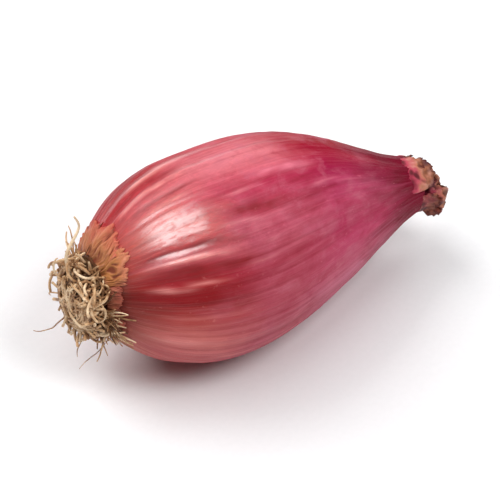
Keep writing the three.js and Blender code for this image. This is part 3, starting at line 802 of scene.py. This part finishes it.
def makeStub():
    stub = startRing("crumpledNeck", neckPlan["columns"], 1, "NGON")
    level, width = 0, 1
    for height, out in neckPlan["profile"]:
        nextRing((height - level, 0, 0), out / width, (height, 0, 0))
        level, width = height, out
    bpy.ops.object.mode_set(mode="OBJECT")
    subdivide(stub, 3)
    x, y, z = readPoints(stub).T
    around, out = np.arctan2(-y, z), np.hypot(y, z)
    toLean = math.radians(neckPlan["leanAround"])
    taller = 0.34 * np.cos(around - toLean) + 0.12 * np.cos(5 * around + 0.7)
    along = onionShape["length"] + 0.1 + neckPlan["height"] * x * (1 + out * taller)
    upright = uprightPoints(along, around, out * stubRadius(np.clip(x, 0, 1), around))
    hang = neckPlan["lean"] * smoothstep(0.1, 1, x)
    upright += np.stack([0 * x, -hang * math.sin(toLean), hang * math.cos(toLean)], axis=-1)
    coarse, fine = ridges(upright, 2.0, 3), ridges(upright, 0.85, 8)
    strength = smoothstep(0.0, 0.45, x)[:, None]
    upright += strength * neckPlan["crumple"] * (0.62 * (coarse - 0.45) + 0.3 * (fine - 0.45))
    upright[:, 0] = np.maximum(upright[:, 0], onionShape["length"] + 0.06)
    writePoints(stub, layDown(upright))
    depth = (0.62 * coarse + 0.38 * fine).mean(axis=1)
    # crest sets a painted highlight on the crumples' crests and painted shade in their creases
    storeValues(stub, "crest", np.clip(0.5 + 1.4 * (depth - depth.mean()), 0, 1))
    storeValues(stub, "outwards", np.clip(x, 0, 1) * (0.6 + 0.4 * out))
    return settle(stub, "dried_neck", "neck_stub")


def makeNeckLeaf(index, middle, wide, start, reach, flare, curl, dusky):
    seed = random.Random(neckPlan["seed"] + index).uniform(0, 40)

    def place(across, upwards):
        around = np.radians(middle + (across - 0.5) * wide)
        torn = neckPlan["tear"] * tornEdge(across, seed, 4, 13)
        edge = np.clip(0.95 - neckPlan["taper"] * (2 * across - 1) ** 2 + torn, 0.4, 1.2)
        past = start + (reach * edge - start) * upwards
        along = onionShape["length"] + past
        share = np.clip(past / neckPlan["height"], 0, 1)
        neck = outlineRadius(along) * (1 - smoothstep(0.0, 1.2, past))
        radius = np.maximum(stubRadius(share, around), neck) - 0.2 + flare * upwards**2
        radius += 0.45 * smoothstep(0.0, 0.25, upwards)
        along = along - curl * upwards**3
        upright = uprightPoints(along, around, radius)
        bent = ridges(upright, 1.7, seed) - 0.45
        upright = upright + (smoothstep(0.2, 1, upwards) * 0.42)[:, None] * bent
        # crest sets a painted highlight on the crumples' crests and painted shade in their creases
        values = {"outwards": upwards, "crest": np.clip(0.5 + 0.8 * bent.mean(axis=1), 0, 1),
                  "dusk": dusky + 0 * upwards}
        return layDown(upright), values

    node = f"neck_leaf_{index + 1:02d}"
    return makeSheet(f"dryLeaf.{index + 1}", "dried_neck", node, neckPlan["leaf"], place)


stub = makeStub()
neckLeaves = [makeNeckLeaf(index, *leaf) for index, leaf in enumerate(neckPlan["leaves"])]
print("dry neck: stub and", len(neckLeaves), "leaves")


# materials
def newMaterial(name):
    material = bpy.data.materials.new(name)
    material.use_nodes = True
    tree = material.node_tree
    return material, tree, tree.nodes["Principled BSDF"].inputs


def setSocket(tree, socket, value):
    if isinstance(value, bpy.types.NodeSocket):
        tree.links.new(value, socket)
    elif isinstance(value, (tuple, list)) and len(socket.default_value) == 4:
        socket.default_value = (*value, 1)
    else:
        socket.default_value = value


def setSockets(tree, sockets, values):
    for key, value in values.items():
        setSocket(tree, sockets[key], value)


def addNode(tree, kind, output, values, **settings):
    node = tree.nodes.new("ShaderNode" + kind)
    for key, value in settings.items():
        setattr(node, key, value)
    setSockets(tree, node.inputs, values)
    return node.outputs[output]


def attribute(tree, name, output="Fac"):
    return addNode(tree, "Attribute", output, {}, attribute_name=name)


def objectPlace(tree):
    return addNode(tree, "TexCoord", "Object", {})


def noiseFac(tree, vector, scale, detail=4.0, roughness=0.55, distortion=0.0):
    return addNode(tree, "TexNoise", "Fac", {
        "Vector": vector, "Scale": scale, "Detail": detail,
        "Roughness": roughness, "Distortion": distortion,
    })


def stretched(tree, vector, scale, location=(0, 0, 0)):
    return addNode(tree, "Mapping", "Vector", {"Vector": vector, "Scale": scale, "Location": location})


def remap(tree, value, fromMin, fromMax, toMin=0.0, toMax=1.0):
    return addNode(tree, "MapRange", "Result", {
        "Value": value, "From Min": fromMin, "From Max": fromMax, "To Min": toMin, "To Max": toMax,
    })


def colourRamp(tree, value, stops):
    node = tree.nodes.new("ShaderNodeValToRGB")
    tree.links.new(value, node.inputs["Fac"])
    ramp = node.color_ramp
    while len(ramp.elements) < len(stops):
        ramp.elements.new(0.5)
    for element, (position, colour) in zip(ramp.elements, stops):
        element.position = position
        element.color = (*colour, 1)
    return node.outputs["Color"]


def mixColour(tree, share, first, second, blend="MIX"):
    return addNode(tree, "Mix", 2, {0: share, 6: first, 7: second}, data_type="RGBA", blend_type=blend)


# each layer is how much of it covers those before it, and its colour
def layered(tree, colour, layers):
    for share, shade in layers:
        colour = mixColour(tree, share, colour, shade)
    return colour


def calculate(tree, operation, first, second):
    return addNode(tree, "Math", 0, {0: first, 1: second}, operation=operation)


def plus(tree, first, second):
    return calculate(tree, "ADD", first, second)


def times(tree, first, second):
    return calculate(tree, "MULTIPLY", first, second)


def bump(tree, height, strength, distance, normal=None):
    values = {"Height": height, "Strength": strength, "Distance": distance}
    if normal is not None:
        values["Normal"] = normal
    return addNode(tree, "Bump", "Normal", values)


# dry fibres that run along the first axis: a mask of streaks, and a finer one
def fibreGroup():
    group = bpy.data.node_groups.new("dryFibres", "ShaderNodeTree")
    group.interface.new_socket("Vector", in_out="INPUT", socket_type="NodeSocketVector")
    for name, value in (("Along", 0.35), ("Across", 16.0), ("Contrast", 0.18)):
        socket = group.interface.new_socket(name, in_out="INPUT", socket_type="NodeSocketFloat")
        socket.default_value = value
    for name in ("Streaks", "Fine"):
        group.interface.new_socket(name, in_out="OUTPUT", socket_type="NodeSocketFloat")
    given = group.nodes.new("NodeGroupInput").outputs
    result = group.nodes.new("NodeGroupOutput").inputs
    for name, finer, seed in (("Streaks", 1.0, 0.0), ("Fine", 3.3, 9.0)):
        along, across = times(group, given["Along"], finer * 0.8), times(group, given["Across"], finer)
        scale = addNode(group, "CombineXYZ", "Vector", {"X": along, "Y": across, "Z": across})
        values = {0: given["Vector"], 1: scale, 2: (seed, seed, seed)}
        place = addNode(group, "VectorMath", "Vector", values, operation="MULTIPLY_ADD")
        streaks = noiseFac(group, place, 1.0, 5.0, 0.62, 0.3)
        low = calculate(group, "SUBTRACT", 0.5, given["Contrast"])
        high = plus(group, 0.5, given["Contrast"])
        group.links.new(remap(group, streaks, low, high), result[name])
    return group


def fibres(tree, vector, along, across, contrast=0.18):
    node = tree.nodes.new("ShaderNodeGroup")
    node.node_tree = dryFibres
    values = {"Vector": vector, "Along": along, "Across": across, "Contrast": contrast}
    setSockets(tree, node.inputs, values)
    return node.outputs["Streaks"], node.outputs["Fine"]


dryFibres = fibreGroup()

skinPlan = {
    "rootward": [  # degrees around, colour
        (-180, (0.42, 0.05, 0.055)), (-130, (0.46, 0.06, 0.06)), (-75, (0.40, 0.02, 0.035)),
        # the stops from -50 to -32 are partly the skin's deep crimson, partly painted shade on the upper
        # back side
        (-50, (0.36, 0.006, 0.02)), (-32, (0.38, 0.004, 0.008)), (-15, (0.64, 0.06, 0.08)),
        (0, (0.71, 0.11, 0.125)), (20, (0.64, 0.14, 0.12)), (34, (0.60, 0.07, 0.075)),
        (42, (0.70, 0.14, 0.16)), (49, (0.45, 0.03, 0.038)), (55, (0.41, 0.015, 0.022)),
        (68, (0.25, 0.01, 0.012)), (82, (0.44, 0.05, 0.045)), (97, (0.69, 0.18, 0.16)),
        (115, (0.59, 0.14, 0.14)), (140, (0.50, 0.10, 0.10)), (180, (0.43, 0.06, 0.06)),
    ],
    "middle": [
        (-180, (0.46, 0.06, 0.08)), (-120, (0.50, 0.08, 0.09)), (-60, (0.56, 0.08, 0.10)),
        (-30, (0.65, 0.097, 0.124)), (-12, (0.75, 0.21, 0.24)), (2, (0.77, 0.17, 0.215)),
        (17, (0.52, 0.043, 0.094)), (32, (0.51, 0.067, 0.11)), (45, (0.61, 0.12, 0.175)),
        (56, (0.49, 0.062, 0.105)), (68, (0.46, 0.07, 0.105)), (82, (0.46, 0.065, 0.10)),
        (97, (0.47, 0.085, 0.12)), (120, (0.48, 0.09, 0.12)), (150, (0.46, 0.07, 0.09)),
        (180, (0.46, 0.06, 0.08)),
    ],
    "neckward": [
        (-180, (0.42, 0.05, 0.09)), (-120, (0.42, 0.045, 0.08)), (-60, (0.34, 0.008, 0.035)),
        (-12, (0.32, 0.002, 0.013)), (2, (0.38, 0.003, 0.03)), (17, (0.37, 0.01, 0.058)),
        (32, (0.53, 0.055, 0.14)), (45, (0.52, 0.06, 0.13)), (56, (0.48, 0.035, 0.10)),
        (68, (0.54, 0.055, 0.135)), (82, (0.51, 0.06, 0.125)), (97, (0.58, 0.15, 0.23)),
        (115, (0.54, 0.12, 0.19)), (150, (0.46, 0.07, 0.12)), (180, (0.42, 0.05, 0.09)),
    ],
    "roots": [
        # the stops at -60 and -20 are partly painted shade on the upper back side; the dark stop at 62 is
        # painted shadow under the collar's tongue
        (-180, (0.45, 0.14, 0.08)), (-60, (0.44, 0.02, 0.02)), (-20, (0.48, 0.02, 0.022)),
        (20, (0.58, 0.08, 0.06)), (45, (0.42, 0.045, 0.035)), (62, (0.19, 0.012, 0.010)),
        (85, (0.27, 0.04, 0.03)), (105, (0.38, 0.08, 0.06)), (130, (0.45, 0.13, 0.09)),
        (180, (0.45, 0.14, 0.08)),
    ],
    "plateEdge": [
        # the dark stops from 65 to 95 degrees are painted shade under the collar's tongue and the root mat
        (-180, (0.24, 0.10, 0.045)), (45, (0.24, 0.10, 0.045)), (65, (0.12, 0.02, 0.012)),
        (95, (0.12, 0.018, 0.012)), (130, (0.24, 0.10, 0.045)), (180, (0.24, 0.10, 0.045)),
    ],
    # the neck end: partly its own deep crimson, partly painted shade under the dry leaves
    "neckEnd": (0.20, 0.002, 0.02),
    "deeper": (0.70, 0.46, 0.50),  # what the streaks between the fibres take off
    # these colours carry painted shade in the furrows and a painted highlight on the crests, besides the
    # skin's own streaks
    "darkStreak": ((0.26, 0.012, 0.016), (0.26, 0.012, 0.035)),  # towards the roots, and the neck
    "paleStreak": ((0.95, 0.35, 0.32), (0.86, 0.23, 0.31)),
    "blotches": ((0.62, 0.16, 0.23), (0.36, 0.015, 0.045)),  # paler and darker, on the neck half
    "veil": (0.55, 0.11, 0.20),
    "roughness": (0.42, 0.56),
    "gloss": (0.95, 0.06),
    "glossRoughness": 0.27,
    "glossIndex": 2.9,
    "sheenLevel": 0.16,
}


# places along the skin are in centimetres from the root plate here
def onionSkin():
    material, tree, shader = newMaterial("onionSkin")
    place = attribute(tree, "skinPlace", "Vector")
    relief, crest = attribute(tree, "relief"), attribute(tree, "crest")
    furrow, outer = attribute(tree, "furrow"), attribute(tree, "outerSkin")
    along, cosine, sine = (addNode(tree, "SeparateXYZ", axis, {"Vector": place}) for axis in "XYZ")
    patches = noiseFac(tree, stretched(tree, place, (0.7, 3.0, 3.0)), 1.0, 3)
    drift = calculate(tree, "SUBTRACT", patches, 0.5)
    turn = plus(tree, calculate(tree, "ARCTAN2", sine, cosine), times(tree, drift, 0.2))
    turn = remap(tree, turn, -math.pi, math.pi)
    wandering = plus(tree, along, times(tree, drift, 2.2))
    neckShare = remap(tree, wandering, 3.3, 4.7)

    def ring(name):
        stops = [((degrees + 180) / 360, colour) for degrees, colour in skinPlan[name]]
        return colourRamp(tree, turn, stops)

    pale = mixColour(tree, remap(tree, wandering, 1.7, 3.2), *skinPlan["paleStreak"])
    dark = mixColour(tree, neckShare, *skinPlan["darkStreak"])
    streaks, fine = fibres(tree, place, 0.3, 15)
    strokes, _ = fibres(tree, stretched(tree, place, (1, 1, 1), (3, 1, 5)), 0.9, 7, 0.3)
    blotches = noiseFac(tree, stretched(tree, place, (2.0, 4.4, 4.4)), 1.0, 5, 0.6, 0.4)
    blotchReach = remap(tree, wandering, 1.6, 3.4, 0.15, 1)
    specks = noiseFac(tree, stretched(tree, place, (9, 22, 22)), 1.0, 2, 0.5)
    fromRoots = calculate(tree, "SUBTRACT", along, remap(tree, streaks, 0, 1, -0.18, 0.25))
    colour = layered(tree, ring("rootward"), [
        (remap(tree, wandering, 1.4, 2.6), ring("middle")),
        (neckShare, ring("neckward")),
        (times(tree, remap(tree, blotches, 0.5, 0.68, 0, 0.5), blotchReach), skinPlan["blotches"][0]),
        (times(tree, remap(tree, blotches, 0.48, 0.3, 0, 0.55), blotchReach), skinPlan["blotches"][1]),
        # painted shade: the dark stops of these rings under the collar's tongue, the mat and the dry
        # leaves
        (remap(tree, fromRoots, 0.9, 0.3), ring("roots")),
        (remap(tree, along, 0.36, 0.12), ring("plateEdge")),
        (remap(tree, wandering, 5.4, 6.4), skinPlan["neckEnd"]),
    ])
    streakDepth = times(tree, remap(tree, streaks, 0.7, 0.0), remap(tree, neckShare, 0, 1, 0.85, 0.35))
    colour = mixColour(tree, streakDepth, colour, skinPlan["deeper"], "MULTIPLY")
    veilShare = times(tree, remap(tree, strokes, 0.5, 1.0, 0, 0.4), outer)
    # pale crest streaks are partly a painted highlight, dark furrow streaks partly painted shade, and the
    # low places of the relief are darkened as painted shade
    colour = layered(tree, colour, [
        (times(tree, remap(tree, fine, 0.55, 1.0, 0, 0.2), patches), pale),
        (times(tree, crest, remap(tree, fine, 0, 1, 0.55, 0.95)), pale),
        (times(tree, furrow, remap(tree, streaks, 0, 1, 0.95, 0.6)), dark),
        (remap(tree, relief, 0.0, -0.35, 0, 0.35), dark),
        (times(tree, veilShare, remap(tree, wandering, 2.4, 4.0)), skinPlan["veil"]),
        (times(tree, remap(tree, specks, 0.66, 0.8, 0, 0.35), outer), pale),
    ])
    roughness = remap(tree, wandering, 1.2, 4.2, *skinPlan["roughness"])
    crinkle = noiseFac(tree, stretched(tree, place, (6, 24, 24)), 1.0, 5, 0.6, 0.6)
    gloss = remap(tree, wandering, 1.2, 4.2, *skinPlan["gloss"])
    gloss = times(tree, gloss, remap(tree, crinkle, 0.4, 0.54, 0.55, 1.2))
    gloss = times(tree, gloss, remap(tree, cosine, 0.5, 0.82))
    gloss = times(tree, gloss, remap(tree, sine, -0.7, -0.15))
    ridged = calculate(tree, "ABSOLUTE", calculate(tree, "SUBTRACT", crinkle, 0.5), 0)
    normal = bump(tree, fine, 0.25, 0.00006)
    normal = bump(tree, streaks, 0.3, 0.00014, normal)
    setSockets(tree, shader, {
        "Base Color": colour,
        "Roughness": plus(tree, roughness, remap(tree, streaks, 0, 1, 0.05, -0.05)),
        "Coat Weight": gloss,
        "Coat Roughness": skinPlan["glossRoughness"],
        "Coat IOR": skinPlan["glossIndex"],
        "Specular IOR Level": skinPlan["sheenLevel"],
        "Normal": bump(tree, ridged, 0.6, 0.0003, normal),
    })
    return material


def dryRoot():
    material, tree, shader = newMaterial("dryRoot")
    place = objectPlace(tree)
    blotch = noiseFac(tree, place, 420, 3, 0.6)
    grain = noiseFac(tree, place, 2600, 3, 0.6)
    tone = plus(tree, attribute(tree, "tone"), remap(tree, blotch, 0.3, 0.7, -0.3, 0.3))
    colour = colourRamp(tree, tone, rootPlan["colours"])
    setSockets(tree, shader, {
        "Base Color": mixColour(tree, remap(tree, grain, 0.35, 0.65, 0, 0.25), colour, rootPlan["grain"]),
        "Roughness": 0.55,
        "Normal": bump(tree, grain, 0.4, 0.00006),
    })
    return material


# torn dry skin: its colours from base to edge, with a painted highlight on the crests, painted shade in
# the creases and a painted dusky shade
def dryPaper(name, plan):
    material, tree, shader = newMaterial(name)
    place = objectPlace(tree)
    outwards, crest = attribute(tree, "outwards"), attribute(tree, "crest")
    dusk, gold = attribute(tree, "dusk"), attribute(tree, "gold")
    streaks, fine = fibres(tree, place, 130, 420)
    blotch = noiseFac(tree, place, 380, 3, 0.6)
    shade = plus(tree, outwards, remap(tree, streaks, 0, 1, -0.12, 0.12))
    shade = plus(tree, shade, remap(tree, blotch, 0.3, 0.7, -0.16, 0.16))
    paleShare = times(tree, remap(tree, crest, 0.6, 1.0), remap(tree, fine, 0, 1, 0.3, 0.8))
    # the dusk layer is painted shade, the deep colour painted shade in the creases and the crest colour a
    # painted highlight on the crests
    colour = layered(tree, colourRamp(tree, shade, plan["colours"]), [
        (gold, colourRamp(tree, shade, collarPlan["golden"])),
        (dusk, collarPlan["dusky"]),
        (remap(tree, crest, 0.45, 0.12, 0, 0.9), plan["deep"]),
        (times(tree, paleShare, remap(tree, dusk, 0, 1, 1, 0.4)), plan["crest"]),
        (remap(tree, streaks, 0.45, 0.0, 0, 0.35), plan["deep"]),
    ])
    setSockets(tree, shader, {
        "Base Color": colour,
        "Roughness": remap(tree, streaks, 0, 1, 0.66, 0.46),
        "Normal": bump(tree, blotch, 0.4, 0.0003, bump(tree, fine, 0.4, 0.0001)),
    })
    return material


def corkyGround():
    material, tree, shader = newMaterial("corkyGround")
    tone = noiseFac(tree, objectPlace(tree), 700, 5, 0.65)
    setSockets(tree, shader, {
        "Base Color": colourRamp(tree, tone, platePlan["colours"]),
        "Roughness": 0.9,
        "Normal": bump(tree, tone, 0.8, 0.0004),
    })
    return material


def wear(material, *pieces):
    for piece in pieces:
        piece.data.materials.clear()
        piece.data.materials.append(material)


wear(onionSkin(), bulb)
wear(corkyGround(), plate)
wear(dryRoot(), *rootPieces)
wear(dryPaper("tornCollar", collarPlan), *flaps)
wear(dryPaper("dryNeckPaper", neckPlan), stub, *neckLeaves)
print("materials done")

# table, light and camera
studio = {
    "tableSize": 6,
    "tableColours": ((0.90, 0.905, 0.915), (0.92, 0.925, 0.935)),
    "boxes": [  # degrees above the table, degrees around, size, power, whether it shows in the gloss
        ("keyBox", 75, 180, (0.68, 0.68), 3.7, True),
        ("frontBox", 55, 300, (0.42, 0.42), 4.5, False),
        ("backBox", 50, 118, (0.60, 0.60), 5.6, False),
    ],
    "boxDistance": 0.9,
    "skyStrength": 0.06,
    "azimuth": -28.8,
    "elevation": 45,
    "distance": 0.6156,
    "lens": 234.8,
    "aim": (-0.0008, 0, 0.018),
    "aimRight": 0.00154,
    "aimUp": -0.0006,
}


def paleTable():
    material, tree, shader = newMaterial("paleTable")
    grain = remap(tree, noiseFac(tree, objectPlace(tree), 900, 3), 0.3, 0.7)
    colour = mixColour(tree, grain, *studio["tableColours"])
    setSockets(tree, shader, {"Base Color": colour, "Roughness": 0.8})
    return material


deselectAll()
bpy.ops.mesh.primitive_plane_add(size=studio["tableSize"], location=(0, 0, 0))
table = nameActive("paleTable")
wear(paleTable(), table)

turn, rise = math.radians(studio["azimuth"]), math.radians(studio["elevation"])
back = Vector((math.sin(turn) * math.cos(rise), -math.cos(turn) * math.cos(rise), math.sin(rise)))
right = Vector((math.cos(turn), math.sin(turn), 0))
aim = Vector(studio["aim"]) + right * studio["aimRight"] + back.cross(right) * studio["aimUp"]
bpy.ops.object.camera_add(location=aim + back * studio["distance"])
camera = bpy.context.object
camera.rotation_euler = back.to_track_quat("Z", "Y").to_euler()
camera.data.sensor_width = 36
camera.data.lens = studio["lens"]
camera.data.clip_end = 20
bpy.context.scene.camera = camera


def softBox(name, above, around, size, power, inGloss):
    rise, turn = math.radians(above), math.radians(around)
    towards = Vector((math.cos(rise) * math.cos(turn), math.cos(rise) * math.sin(turn), math.sin(rise)))
    bpy.ops.object.light_add(type="AREA", location=aim + towards * studio["boxDistance"])
    box = nameActive(name)
    box.rotation_euler = towards.to_track_quat("Z", "Y").to_euler()
    box.data.shape = "RECTANGLE"
    box.data.size, box.data.size_y = size
    box.data.energy = power
    box.visible_glossy = inGloss


for box in studio["boxes"]:
    softBox(*box)

world = bpy.data.worlds.new("studioAir")
bpy.context.scene.world = world
world.use_nodes = True
sky = world.node_tree.nodes["Background"].inputs
sky["Color"].default_value = (1, 1, 1, 1)
sky["Strength"].default_value = studio["skyStrength"]
bpy.context.scene.view_settings.view_transform = "Standard"
print("studio done")
